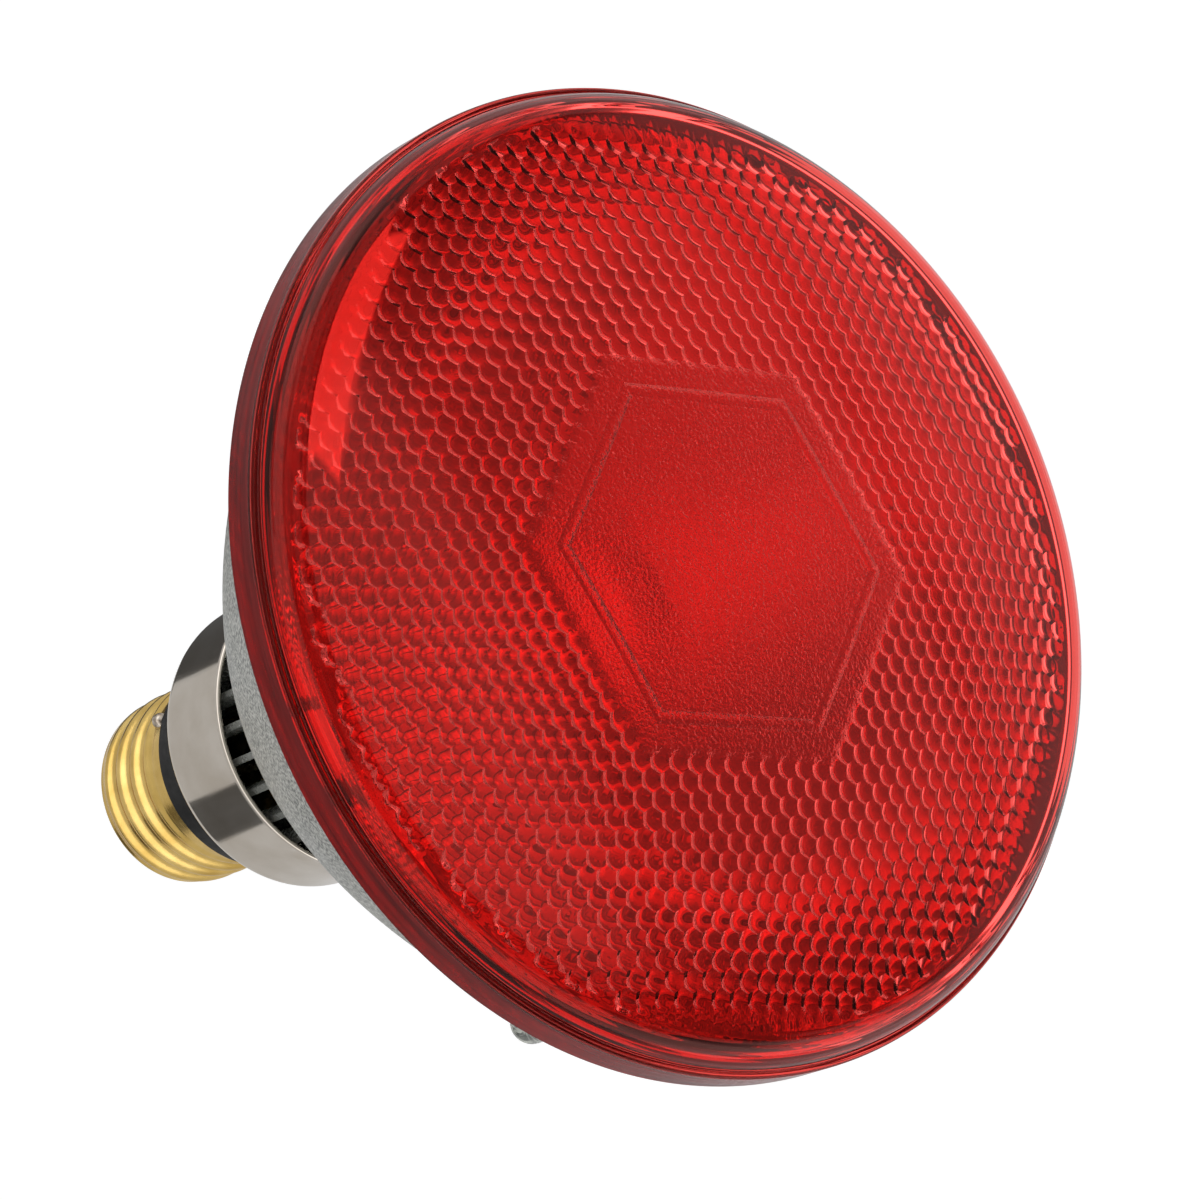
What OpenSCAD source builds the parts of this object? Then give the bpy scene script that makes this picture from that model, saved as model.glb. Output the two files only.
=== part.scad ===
// Infrared heat lamp: red pressed-glass lens on a silvered glass reflector, with a
// metal skirt and a screw base. Millimetres, +Z from the contact tip up to the lens.

/* [Lens] */
// Outer diameter of the lens rim
lens_d = 121.5; // [118:0.5:124]
// Height of the rim's straight side wall
lens_rim_h = 4.5; // [3:0.1:6]
// Glass thickness of the lens
lens_wall = 4; // [3.2:0.1:5]
// Width of the bead between the side wall and the front shoulder
lens_bead = 0.9; // [0.5:0.1:1.2]
// Width of the rounded shoulder, measured inwards from the bead
lens_shoulder_w = 5.6; // [4.5:0.1:6.5]
// Height of the rounded shoulder
lens_shoulder_h = 4.6; // [4:0.1:5.5]
// Rise of the dome above the shoulder
lens_rise = 5.1; // [4:0.1:6]

/* [Honeycomb] */
// Distance between neighbouring cells
cell_pitch = 2.6; // [2.6:0.05:3.2]
// Height of each cell above its edges
cell_h = 0.55; // [0.3:0.05:0.9]
// Plain margin between the cells and the edge of the dome
cell_margin = 0.3; // [0.2:0.1:4]
// Corner radius of the smooth hexagonal panel
panel_r = 27; // [20:0.5:32]
// Corner radius of the raised line on the panel
panel_line_r = 22.7; // [15:0.1:25]
// Width of the raised line
panel_line_w = 0.9; // [0.5:0.1:1.5]
// Height of the raised line
panel_line_h = 0.35; // [0.2:0.05:0.8]

/* [Reflector] */
// Height of the reflector from its heel to the seam with the lens
reflector_h = 82.2; // [80:0.1:87]
// How far the rim flange stands out from the bowl
rim_flange_w = 2.1; // [1.5:0.1:2.6]
// Height from the heel to the tip of the bowl's outer curve
neck_h = 16.2; // [15:0.1:18]
// Distance between the tips of the outer and the mirrored curve
bowl_floor = 4.3; // [3.5:0.1:6]
// Glass thickness at the rim
rim_glass_w = 4.2; // [3.6:0.1:4.6]
// Height of the rim flange
rim_flange_h = 0.8; // [0.7:0.1:1.2]
// How far the flange stands inside the lens wall
rim_flange_step = 0.4; // [0.2:0.1:0.5]
// Room between the neck and the skirt
neck_room = 2.55; // [2.2:0.05:3.2]
// Wall thickness of the neck
neck_wall = 2.4; // [2:0.1:3]
// Number of ribs round the neck
rib_count = 27; // [12:1:30]
// Width of a rib
rib_w = 0.9; // [0.7:0.1:1.4]
// Radius of the lugs behind the rim
lug_r = 2.6; // [2:0.1:3.2]
// How far the lugs' middles stand out from the bowl
lug_stand = 0.7; // [0.4:0.1:1.2]
// Distance from the seam to the lugs' lower ends
lug_drop = 14.7; // [13:0.1:17]
// Number of lugs
lug_count = 3; // [2:1:6]
// Direction of the first lug
lug_turn = 72; // [0:1:119]

/* [Skirt] */
// Outer diameter of the skirt
skirt_d = 39; // [38.4:0.1:40]
// Length of the skirt from its end wall to its mouth
skirt_len = 18.2; // [16:0.1:22]
// Sheet thickness of the skirt
skirt_sheet = 0.35; // [0.25:0.05:0.5]
// Height of the rounded shoulder at the end wall
skirt_shoulder_h = 4.4; // [3.5:0.1:5]
// Outward flare of the rolled mouth
skirt_flare = 0.7; // [0.4:0.1:1.2]
// Number of dimples punched round the skirt
dimple_count = 3; // [2:1:6]
// Radius of a dimple
dimple_r = 1.5; // [1:0.1:2]
// Depth of a dimple
dimple_depth = 0.55; // [0.3:0.05:0.6]
// Direction of the first dimple
dimple_turn = 66.8; // [0:0.2:119]

/* [Screw base] */
// Height of the screw shell's top edge above the contact tip
shell_top = 24.3; // [23.5:0.1:26]
// Crest diameter of the thread
thread_d = 26.2; // [26:0.05:26.4]
// Depth of the rolled thread
thread_depth = 0.8; // [0.5:0.05:0.9]
// Distance between thread crests
thread_pitch = 3.629; // [3.4:0.001:3.8]
// Height of the plain band above the thread
shell_band_h = 4.4; // [3.5:0.1:5]
// Sheet thickness of the shell
shell_sheet = 0.3; // [0.25:0.05:0.4]
// Height of the shell's lower edge
shell_bottom = 7; // [6.6:0.1:7.4]
// Height of the black ring that shows between shell and skirt
ring_show = 8.8; // [7.5:0.1:10]
// How far the black ring stands inside the skirt
ring_step = 5.2; // [4.5:0.1:5.6]
// Radius of the contact disc
contact_r = 4.7; // [4:0.1:5]
// Thickness of the contact disc
contact_t = 0.6; // [0.4:0.05:0.8]
// Height of the solder dome on the contact
tip_solder_h = 0.8; // [0.5:0.05:1]
// Direction of the solder bead on the shell
solder_turn = -25; // [-60:1:60]

/* [Mount] */
// Room between a ferrule and the inside of the neck
ferrule_room = 1.5; // [0.8:0.1:2]
// Room between a ferrule and the exhaust tube
tube_room = 2.1; // [1.6:0.1:3]
// Length of a ferrule
ferrule_len = 6; // [4:0.1:8]
// Sheet thickness of a ferrule
ferrule_sheet = 0.4; // [0.3:0.05:0.6]
// Radius of the lead posts
post_r = 0.8; // [0.6:0.05:1]
// Radius of the thin lead wires
lead_r = 0.4; // [0.3:0.05:0.5]
// Outer radius of the filament coil
coil_r = 0.9; // [0.6:0.05:1.2]
// Thickness of the filament wire
coil_wire = 0.3; // [0.2:0.05:0.4]
// Number of turns of the filament
coil_turns = 13; // [8:1:16]
// Radius of the exhaust tube
exhaust_r = 2.4; // [2:0.1:2.8]
// Length of the exhaust tube
exhaust_len = 10; // [6:0.1:14]

/* [Hidden] */
$fn = 96;

// Overrun of every cut, and the clearances between pieces that meet
over = 1;
fit_gap = 0.05;
seat_gap = 0.2;

// Heights, stacked up from the contact tip
skirt_z = shell_top + ring_show;
mouth_z = skirt_z + skirt_len;
neck_z = skirt_z + skirt_shoulder_h + seat_gap;
seam_z = neck_z + reflector_h;
crease_z = seam_z + lens_rim_h + lens_bead;
shoulder_z = crease_z + lens_shoulder_h;
apex_z = shoulder_z + lens_rise;

// Lens radii
lens_r = lens_d / 2;
crease_r = lens_r - lens_bead;
dome_r = crease_r - lens_shoulder_w;
rim_in_r = lens_r - rim_glass_w - rim_flange_step;
cell_field_r = dome_r - cell_margin;
face_ball_r = (dome_r * dome_r + lens_rise * lens_rise) / (2 * lens_rise);
inner_apex_z = apex_z - lens_wall;
inner_fillet_r = rim_in_r - dome_r;

// Height of the smooth inner face of the lens at radius r
function inner_face_z(r) = inner_apex_z - face_ball_r + sqrt(face_ball_r * face_ball_r - r * r);
// Height of the outer dome at radius r
function outer_face_z(r) = inner_face_z(r) + lens_wall;

// Points of a circular arc
function arc(cx, cy, r, a0, a1, n) =
    [for (i = [0:n]) let (a = a0 + (a1 - a0) * i / n) [cx + r * cos(a), cy + r * sin(a)]];

// Shoulder arc from the dome's edge down to the crease, leaving the dome without a kink
dome_slope = asin(dome_r / face_ball_r);
shoulder_chord = sqrt(lens_shoulder_w * lens_shoulder_w + lens_shoulder_h * lens_shoulder_h);
shoulder_turn = 2 * (atan(lens_shoulder_h / lens_shoulder_w) - dome_slope);
shoulder_r = shoulder_chord / (2 * sin(shoulder_turn / 2));
shoulder_cx = dome_r - shoulder_r * sin(dome_slope);
shoulder_cz = shoulder_z - shoulder_r * cos(dome_slope);

function lens_outline() = concat(
    [for (i = [0:10]) let (r = dome_r * i / 10) [r, outer_face_z(r)]],
    arc(shoulder_cx, shoulder_cz, shoulder_r, 90 - dome_slope, 90 - dome_slope - shoulder_turn, 8),
    arc(crease_r, crease_z - lens_bead, lens_bead, 80, 0, 5),
    [[lens_r, seam_z], [rim_in_r, seam_z]],
    arc(dome_r, inner_face_z(dome_r) - inner_fillet_r, inner_fillet_r, 0, 72, 4),
    [for (i = [10:-1:0]) let (r = dome_r * i / 10) [r, inner_face_z(r)]]);

module lens_body() {
    rotate_extrude() polygon(lens_outline());
}

// The honeycomb lies on a triangular lattice of cell centres and cell corners
cell_step = cell_pitch / sqrt(3);
cell_sink = 0.12;
field_lift = 1.5;
field_peak_share = 0.8;
field_peak = inner_apex_z + lens_wall * field_peak_share;
field_n = ceil(2 * cell_field_r / (sqrt(3) * cell_step)) + 3;
field_side = 2 * field_n + 1;
function lattice(u, v) = [u * cell_step * cos(30), (u / 2 + v) * cell_step];
function lattice_id(u, v) = (u + field_n) * field_side + v + field_n;
function is_centre(u, v) = (((u - v) % 3) + 3) % 3 == 0;
function panel_reach(p) = max([for (a = [30, 90, 150]) abs(p[0] * cos(a) + p[1] * sin(a))]);
function is_cell(u, v) = let (p = lattice(u, v))
    norm(p) < cell_field_r - cell_step && panel_reach(p) > panel_r * cos(30) + cell_step / 2;
around = [[1, 0], [0, 1], [-1, 1], [-1, 0], [0, -1], [1, -1]];

function cell_point(u, v, lift) = let (p = lattice(u, v), r = min(norm(p), cell_field_r))
    [p[0], p[1], inner_face_z(r) + lift - cell_sink - (is_centre(u, v) ? cell_h : 0)];

module honeycomb() {
    span = [-field_n:field_n];
    count = field_side * field_side;
    points = concat(
        [for (u = span) for (v = span) cell_point(u, v, 0)],
        [for (u = span) for (v = span) cell_point(u, v, field_lift)],
        [[0, 0, field_peak]]);
    cells = [for (u = span) for (v = span) if (is_centre(u, v) && is_cell(u, v)) [u, v]];
    inner = [for (c = cells) for (k = [0:5]) let (a = c + around[k], b = c + around[(k + 1) % 6])
        [lattice_id(c[0], c[1]), lattice_id(a[0], a[1]), lattice_id(b[0], b[1])]];
    edges = [for (c = cells) for (k = [0:5])
        let (da = around[k], db = around[(k + 1) % 6], next = c + da + db, a = c + da, b = c + db)
        if (!is_cell(next[0], next[1])) [lattice_id(a[0], a[1]), lattice_id(b[0], b[1])]];
    sides = [for (e = edges) [e[1], e[0], e[0] + count, e[1] + count]];
    roof = [for (e = edges) [e[1] + count, e[0] + count, 2 * count]];
    polyhedron(points, concat(inner, sides, roof));
}

module panel_line() {
    flat_r = panel_line_r * cos(30);
    low_z = inner_face_z(panel_line_r) - panel_line_h;
    difference() {
        translate([0, 0, low_z])
            cylinder(r = panel_line_r, h = lens_wall / 2 + panel_line_h, $fn = 6);
        translate([0, 0, low_z - over])
            cylinder(r = panel_line_r - panel_line_w / cos(30), h = lens_wall + 2 * over, $fn = 6);
    }
}

module lens() {
    color("firebrick") union() {
        union() {
            lens_body();
            panel_line();
        }
        honeycomb();
    }
}

// The bowl: a parabola outside, a parabola inside, and a floor that holds the ferrules
flange_r = lens_r - rim_flange_step;
flange_z = seam_z - rim_flange_h;
bowl_r = flange_r - rim_flange_w;
bowl_vertex_z = neck_z + neck_h;
bowl_outer_f = bowl_r * bowl_r / (4 * (flange_z - bowl_vertex_z));
mirror_vertex_z = bowl_vertex_z + bowl_floor;
bowl_inner_f = rim_in_r * rim_in_r / (4 * (seam_z - mirror_vertex_z));
neck_r = skirt_d / 2 - skirt_sheet - neck_room;
neck_top_z = bowl_vertex_z + neck_r * neck_r / (4 * bowl_outer_f);
neck_in_r = neck_r - neck_wall;
ferrule_r = (neck_in_r - ferrule_room - tube_room - exhaust_r) / 2;
ferrule_at = neck_in_r - ferrule_r - ferrule_room;
floor_t = bowl_floor - fit_gap;
floor_z = mirror_vertex_z - floor_t;
focus_z = mirror_vertex_z + bowl_inner_f;
post_hole_r = post_r + 3 * fit_gap;
bowl_steps = 16;

function outer_bowl(t) = let (r = neck_r + (bowl_r - neck_r) * t)
    [r, bowl_vertex_z + r * r / (4 * bowl_outer_f)];
function inner_bowl(t) = let (r = rim_in_r * t) [r, mirror_vertex_z + r * r / (4 * bowl_inner_f)];
function bowl_outline() = concat(
    [[0, neck_z], [neck_r, neck_z]],
    [for (i = [0:bowl_steps]) outer_bowl(i / bowl_steps)],
    [[flange_r, flange_z + rim_flange_step], [flange_r, seam_z], [0, seam_z]]);

// Ribs stand round the neck, and the skirt's dimples press into the gaps between them
rib_r = skirt_d / 2 - skirt_sheet - seat_gap;
rib_top_z = neck_top_z + rib_r - neck_r;
rib_foot_z = neck_z + rib_w / 2;
rib_turn = 360 / rib_count;
module ribs() {
    difference() {
        for (i = [0:rib_count - 1]) rotate([0, 0, rib_turn * (i + 0.5) + dimple_turn])
            translate([neck_r - neck_wall / 2, -rib_w / 2, rib_foot_z])
                cube([rib_r - neck_r + neck_wall / 2, rib_w, rib_top_z - rib_foot_z]);
        rotate_extrude() polygon([[neck_r, rib_top_z], [rib_r + over, rib_top_z + over],
                                  [rib_r + over, mouth_z + over], [rib_r, mouth_z + over]]);
    }
}

lug_z = seam_z - lug_drop + lug_r;
lug_at_r = sqrt(4 * bowl_outer_f * (lug_z - bowl_vertex_z)) + lug_stand;
lug_cap_turn = 75;
module lug(turn) {
    rotate([0, 0, turn]) translate([lug_at_r, 0, lug_z])
        rotate_extrude($fn = 48) polygon(concat(
            [[0, flange_z - lug_z], [0, -lug_r]], arc(0, 0, lug_r, -lug_cap_turn, 0, 5),
            [[lug_r, flange_z - lug_z]]));
}

module mirror_cavity() {
    rotate_extrude() polygon(concat([[0, seam_z + over], [rim_in_r, seam_z + over]],
                                    [for (i = [bowl_steps:-1:0]) inner_bowl(i / bowl_steps)]));
}

module reflector() {
    color("lightgray") difference() {
        union() {
            rotate_extrude() polygon(bowl_outline());
            ribs();
            for (i = [0:lug_count - 1]) lug(lug_turn + 360 / lug_count * i);
        }
        mirror_cavity();
        translate([0, 0, neck_z - over]) cylinder(r = neck_in_r, h = floor_z - neck_z + over);
        for (side = [-1, 1]) translate([side * ferrule_at, 0, floor_z - over])
            cylinder(r = post_hole_r, h = floor_t + 4 * over, $fn = 32);
    }
}

module exhaust_tube() {
    color("whitesmoke") translate([0, 0, floor_z - exhaust_len]) difference() {
        union() {
            translate([0, 0, exhaust_r]) cylinder(r = exhaust_r, h = exhaust_len - exhaust_r, $fn = 32);
            translate([0, 0, exhaust_r]) sphere(r = exhaust_r, $fn = 32);
        }
        translate([0, 0, exhaust_r]) cylinder(r = exhaust_r / 2, h = exhaust_len, $fn = 32);
    }
}

module ferrule(side) {
    color("silver") translate([side * ferrule_at, 0, floor_z - ferrule_len]) difference() {
        cylinder(r = ferrule_r, h = ferrule_len, $fn = 48);
        translate([0, 0, ferrule_sheet])
            cylinder(r = ferrule_r - ferrule_sheet, h = ferrule_len, $fn = 48);
        translate([0, 0, -over]) cylinder(r = post_r + fit_gap, h = ferrule_len, $fn = 32);
    }
}

braze_h = 1.1;
braze_tip_share = 1.25;
module braze(side) {
    color("peru") translate([side * ferrule_at, 0, floor_z - ferrule_len - braze_h]) difference() {
        cylinder(r1 = post_r * braze_tip_share, r2 = ferrule_r / 2, h = braze_h, $fn = 32);
        translate([0, 0, -over]) cylinder(r = post_r, h = braze_h + 2 * over, $fn = 32);
    }
}

// A bent wire through the points of a path, in rings that lie square to it
wire_sides = 12;
function unit(v) = v / norm(v);
function leg(path, i) = i < 0 || i > len(path) - 2 ? [0, 0, 0] : unit(path[i + 1] - path[i]);
function heading(path, i) = unit(leg(path, i - 1) + leg(path, i));
function wire_ring(path, i, r) = let (t = heading(path, i), u = unit(cross([0, 1, 0], t)), v = cross(t, u))
    [for (k = [0:wire_sides - 1]) let (a = 360 * k / wire_sides) path[i] + r * (cos(a) * u + sin(a) * v)];

module wire(path, r) {
    n = wire_sides;
    last = n * (len(path) - 1);
    skin = [for (i = [0:len(path) - 2]) for (k = [0:n - 1]) let (a = n * i + k, b = n * i + (k + 1) % n)
        each [[a, b + n, b], [a, a + n, b + n]]];
    ends = [[for (k = [0:n - 1]) k], [for (k = [n - 1:-1:0]) last + k]];
    polyhedron([for (i = [0:len(path) - 1]) each wire_ring(path, i, r)], concat(skin, ends));
}

post_bottom_z = floor_z - ferrule_len - 2 * braze_h;
module lead_post(side) {
    color("gray") wire([[side * ferrule_at, 0, post_bottom_z], [side * ferrule_at, 0, focus_z - post_r],
                        [side * (ferrule_at + post_r / 2), 0, focus_z + post_r],
                        [side * (ferrule_at + 2 * post_r), 0, focus_z + 3 * post_r]], post_r);
}

// The coil runs from post to post through the focus
coil_half = ferrule_at - post_r - fit_gap;
coil_facets = 8;
coil_steps = coil_turns * coil_facets;
function coil_centre(i) = let (t = i / coil_steps, a = 360 * coil_turns * t,
                               reach = min(1, 4 * min(t, 1 - t) * coil_turns / 2))
    [coil_half * (2 * t - 1), (coil_r - coil_wire / 2) * reach * cos(a),
     focus_z + (coil_r - coil_wire / 2) * reach * sin(a)];
function coil_ring(i) = let (c = coil_centre(i), a = 360 * i / coil_facets, w = coil_wire / 2)
    [c + [w, 0, 0], c + w * [0, cos(a), sin(a)], c - [w, 0, 0], c - w * [0, cos(a), sin(a)]];

module filament() {
    points = [for (i = [0:coil_steps]) each coil_ring(i)];
    tube = [for (i = [0:coil_steps - 1]) for (k = [0:3]) let (n = (k + 1) % 4)
        each [[4 * i + k, 4 * i + n, 4 * i + 4 + n], [4 * i + k, 4 * i + 4 + n, 4 * i + 4 + k]]];
    ends = [[3, 2, 1, 0], [for (k = [0:3]) 4 * coil_steps + k]];
    color("dimgray") polyhedron(points, concat(tube, ends));
}

// Section of the skirt's sheet, from the hole in its end wall out and up to the rolled mouth
skirt_r = skirt_d / 2;
ring_r = skirt_r - ring_step;
skirt_hole_r = ring_r + fit_gap;
skirt_bend_r = skirt_shoulder_h / 2;
skirt_bend_turn = -50;
mouth_roll_h = 1.8;
function skirt_path(inset) = concat(
    [[skirt_hole_r, skirt_z + inset]],
    arc(skirt_r - skirt_bend_r, skirt_z + skirt_shoulder_h, skirt_bend_r - inset, skirt_bend_turn, 0, 6),
    [[skirt_r - inset, mouth_z - mouth_roll_h]],
    arc(skirt_r + skirt_flare - inset, mouth_z - mouth_roll_h, skirt_flare, 180, 110, 4));
function reversed(list) = [for (i = [len(list) - 1:-1:0]) list[i]];
// Height of the end wall's inner face at radius r
function end_wall_z(r) = let (a = skirt_path(skirt_sheet)[0], b = skirt_path(skirt_sheet)[1])
    a[1] + (b[1] - a[1]) * (r - a[0]) / (b[0] - a[0]);

module skirt_wall() {
    mouth_r = skirt_r + skirt_flare - skirt_sheet / 2;
    rotate_extrude() polygon(concat(skirt_path(0), [[mouth_r, mouth_z], [mouth_r - skirt_sheet, mouth_z]],
                                    reversed(skirt_path(skirt_sheet))));
}

dimple_z = mouth_z - 3;
dimple_ball_r = (dimple_r * dimple_r + dimple_depth * dimple_depth) / (2 * dimple_depth);
module dimples(grow) {
    for (i = [0:dimple_count - 1])
        rotate([0, 0, dimple_turn + rib_turn * round(i * rib_count / dimple_count)])
            translate([skirt_r - dimple_depth + dimple_ball_r, 0, dimple_z])
                sphere(r = dimple_ball_r + grow, $fn = 48);
}

module skirt() {
    color("gainsboro") difference() {
        union() {
            skirt_wall();
            intersection() {
                dimples(skirt_sheet);
                difference() {
                    translate([0, 0, dimple_z - 2 * dimple_r])
                        cylinder(r = skirt_r - skirt_sheet / 2, h = 4 * dimple_r);
                    translate([0, 0, dimple_z - 2 * dimple_r - over])
                        cylinder(r = skirt_r / 2, h = 4 * dimple_r + 2 * over);
                }
            }
        }
        dimples(0);
    }
}

// Radii of the shell: crest, root and the plain band, all of the outer face
thread_r = thread_d / 2;
band_r = thread_r - thread_depth / 2;
thread_top_z = shell_top - shell_band_h;
lip_w = 5.9;
lip_r = contact_r + lip_w;
lip_rise = 1.1;
shell_in_r = thread_r - thread_depth - shell_sheet;
shell_rows = 36;
shell_facets = 32;
facet_share = cos(180 / shell_facets);

function thread_swell(z) = let (room = thread_pitch / 2)
    max(0, min(1, (z - shell_bottom - lip_rise) / room, (thread_top_z + room - z) / room));
function shell_r(z, a) = let (wave = cos(a - solder_turn - 360 * (z - thread_top_z) / thread_pitch))
    band_r + thread_depth / 2 * thread_swell(z) * wave;
function shell_row(k, inset) = let (z = shell_bottom + lip_rise
                                        + (shell_top - shell_bottom - lip_rise) * k / shell_rows)
    [for (i = [0:shell_facets - 1]) let (a = 360 * i / shell_facets, r = shell_r(z, a) - inset)
        [r * cos(a), r * sin(a), z]];
function lip_row(inset) = [for (i = [0:shell_facets - 1]) let (a = 360 * i / shell_facets)
    [lip_r * cos(a), lip_r * sin(a), shell_bottom + inset]];

module screw_shell() {
    rows = concat([lip_row(0)], [for (k = [0:shell_rows]) shell_row(k, 0)],
                  [for (k = [shell_rows:-1:0]) shell_row(k, shell_sheet)], [lip_row(shell_sheet)]);
    n = len(rows);
    skin = [for (k = [0:n - 1]) for (i = [0:shell_facets - 1])
        let (j = (i + 1) % shell_facets, up = (k + 1) % n,
             a = k * shell_facets + i, b = k * shell_facets + j,
             c = up * shell_facets + j, d = up * shell_facets + i)
        each [[a, c, b], [a, d, c]]];
    color("goldenrod") polyhedron([for (row = rows) each row], skin);
}

// The black ring: a spigot in the shell, a visible band, and a collar over the skirt's end wall
ring_in_r = 9.5;
ring_collar_w = 1.6;
ring_spigot_h = 2;
ring_slope_h = 1.6;
lead_slot = 3 * lead_r;
collar_r = ring_r + ring_collar_w;
ring_top_z = end_wall_z(collar_r) + ring_collar_w;
module insulating_ring() {
    spigot_r = (band_r - shell_sheet) * facet_share - fit_gap;
    color("black") difference() {
        rotate_extrude() polygon([
            [ring_in_r, shell_top - ring_spigot_h], [spigot_r, shell_top - ring_spigot_h],
            [spigot_r, shell_top + fit_gap], [band_r, shell_top + fit_gap],
            [ring_r, shell_top + ring_slope_h], [ring_r, end_wall_z(ring_r) + fit_gap],
            [collar_r, end_wall_z(collar_r) + fit_gap], [collar_r, ring_top_z], [ring_in_r, ring_top_z]]);
        rotate([0, 0, solder_turn]) translate([ring_in_r - over, -lead_slot / 2, shell_top - over])
            cube([ring_r, lead_slot, over + lead_slot]);
    }
}

// The glass end of the base fills the shell's lower end and carries the contact
contact_z = tip_solder_h;
plug_h = 3.4;
module base_insulator() {
    plug_r = shell_in_r * facet_share - fit_gap;
    base_r = lip_r * facet_share - fit_gap;
    top_z = shell_bottom + shell_sheet + lip_rise + plug_h;
    seat_z = contact_z + contact_t;
    color("black") difference() {
        rotate_extrude() polygon([
            [0, seat_z + fit_gap], [contact_r + fit_gap, seat_z + fit_gap],
            [contact_r + fit_gap, contact_z], [contact_r + seat_gap + contact_t, contact_z],
            [base_r, shell_bottom], [base_r, shell_bottom + shell_sheet + fit_gap],
            [plug_r, shell_bottom + shell_sheet + lip_rise], [plug_r, top_z],
            [contact_r, top_z], [0, top_z - plug_h / 2]]);
        translate([0, 0, -over]) cylinder(r = lead_r + fit_gap, h = top_z + 2 * over, $fn = 32);
    }
}

module centre_contact() {
    color("goldenrod") translate([0, 0, contact_z]) difference() {
        cylinder(r1 = contact_r - contact_t / 2, r2 = contact_r, h = contact_t, $fn = 64);
        translate([0, 0, -over]) cylinder(r = lead_r + fit_gap, h = contact_t + 2 * over, $fn = 32);
    }
}

tip_solder_share = 0.62;
module contact_solder() {
    r = contact_r * tip_solder_share;
    ball_r = (r * r + tip_solder_h * tip_solder_h) / (2 * tip_solder_h);
    color("silver") difference() {
        intersection() {
            translate([0, 0, ball_r]) sphere(r = ball_r);
            cylinder(r = r + over, h = tip_solder_h);
        }
        translate([0, 0, tip_solder_h / 2]) cylinder(r = lead_r, h = tip_solder_h, $fn = 32);
    }
}

lead_drop = 5;
module contact_lead() {
    start = [-ferrule_at, -post_r - lead_r, post_bottom_z + 2 * lead_r];
    color("silver") wire([start, start - [0, 0, lead_drop], [0, 0, shell_top / 2],
                          [0, 0, tip_solder_h / 2]], lead_r);
}

// The other lead leaves through the slot in the ring and turns down over the shell's edge
lead_out_r = band_r + lead_r + fit_gap;
lead_out_z = shell_top + lead_r + 2 * fit_gap;
lead_in_r = ring_in_r - 2 * lead_r;
bead_r = 1.1;
module shell_lead() {
    start = [ferrule_at, -post_r - lead_r, post_bottom_z + 2 * lead_r];
    out = [cos(solder_turn), sin(solder_turn), 0];
    color("silver") wire([start, start - [0, 0, lead_drop],
                          lead_in_r * out + [0, 0, ring_top_z + lead_drop / 2],
                          lead_in_r * out + [0, 0, lead_out_z],
                          lead_out_r * out + [0, 0, lead_out_z],
                          lead_out_r * out + [0, 0, shell_top - bead_r]], lead_r);
}

module side_solder() {
    out = [cos(solder_turn), sin(solder_turn), 0];
    color("silver") difference() {
        translate((band_r + bead_r / 2) * out + [0, 0, shell_top - bead_r]) sphere(r = bead_r, $fn = 32);
        cylinder(r = band_r + fit_gap, h = shell_top + bead_r);
        translate(lead_out_r * out + [0, 0, shell_top - bead_r])
            cylinder(r = lead_r + fit_gap, h = 2 * bead_r, $fn = 32);
    }
}

lens();
reflector();
exhaust_tube();
ferrule(-1);  // ferrule_a
ferrule(1);  // ferrule_b
braze(-1);  // braze_a
braze(1);  // braze_b
lead_post(-1);  // lead_post_a
lead_post(1);  // lead_post_b
filament();
skirt();
insulating_ring();
screw_shell();
base_insulator();
centre_contact();
contact_solder();
contact_lead();
side_solder();
shell_lead();
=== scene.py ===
import math

import bmesh
import bpy
from mathutils import Matrix, Vector


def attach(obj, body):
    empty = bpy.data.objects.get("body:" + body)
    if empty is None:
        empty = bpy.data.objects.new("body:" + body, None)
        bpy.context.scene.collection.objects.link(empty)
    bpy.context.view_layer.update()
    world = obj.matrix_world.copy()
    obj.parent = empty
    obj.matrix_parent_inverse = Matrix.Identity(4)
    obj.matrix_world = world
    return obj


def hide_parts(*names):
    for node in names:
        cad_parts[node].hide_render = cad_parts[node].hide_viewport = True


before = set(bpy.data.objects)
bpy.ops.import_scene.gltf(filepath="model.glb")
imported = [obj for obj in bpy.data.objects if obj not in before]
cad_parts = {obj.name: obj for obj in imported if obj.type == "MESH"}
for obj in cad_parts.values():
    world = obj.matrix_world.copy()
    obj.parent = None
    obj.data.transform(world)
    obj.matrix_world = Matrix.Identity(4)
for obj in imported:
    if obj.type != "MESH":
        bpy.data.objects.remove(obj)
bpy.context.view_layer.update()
MM = 0.001


# Centre contact and its solder: a stamped brass disc at the tip of the base, with a dome of
# solder over the wire that comes through it. The disc is moulded into the black glass.

def new_finish(name):
    finish = bpy.data.materials.new(name)
    finish.use_nodes = True
    tree = finish.node_tree
    tree.nodes.clear()
    shader = tree.nodes.new("ShaderNodeBsdfPrincipled")
    output = tree.nodes.new("ShaderNodeOutputMaterial")
    tree.links.new(shader.outputs["BSDF"], output.inputs["Surface"])
    return finish, tree, shader


def put(tree, kind, sockets=None, **settings):
    made = tree.nodes.new(kind)
    for name, value in settings.items():
        setattr(made, name, value)
    for name, value in (sockets or {}).items():
        if isinstance(value, bpy.types.NodeSocket):
            tree.links.new(value, made.inputs[name])
        else:
            made.inputs[name].default_value = value
    return made


def set_shader(tree, shader, sockets):
    for name, value in sockets.items():
        if isinstance(value, bpy.types.NodeSocket):
            tree.links.new(value, shader.inputs[name])
        else:
            shader.inputs[name].default_value = value


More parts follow.
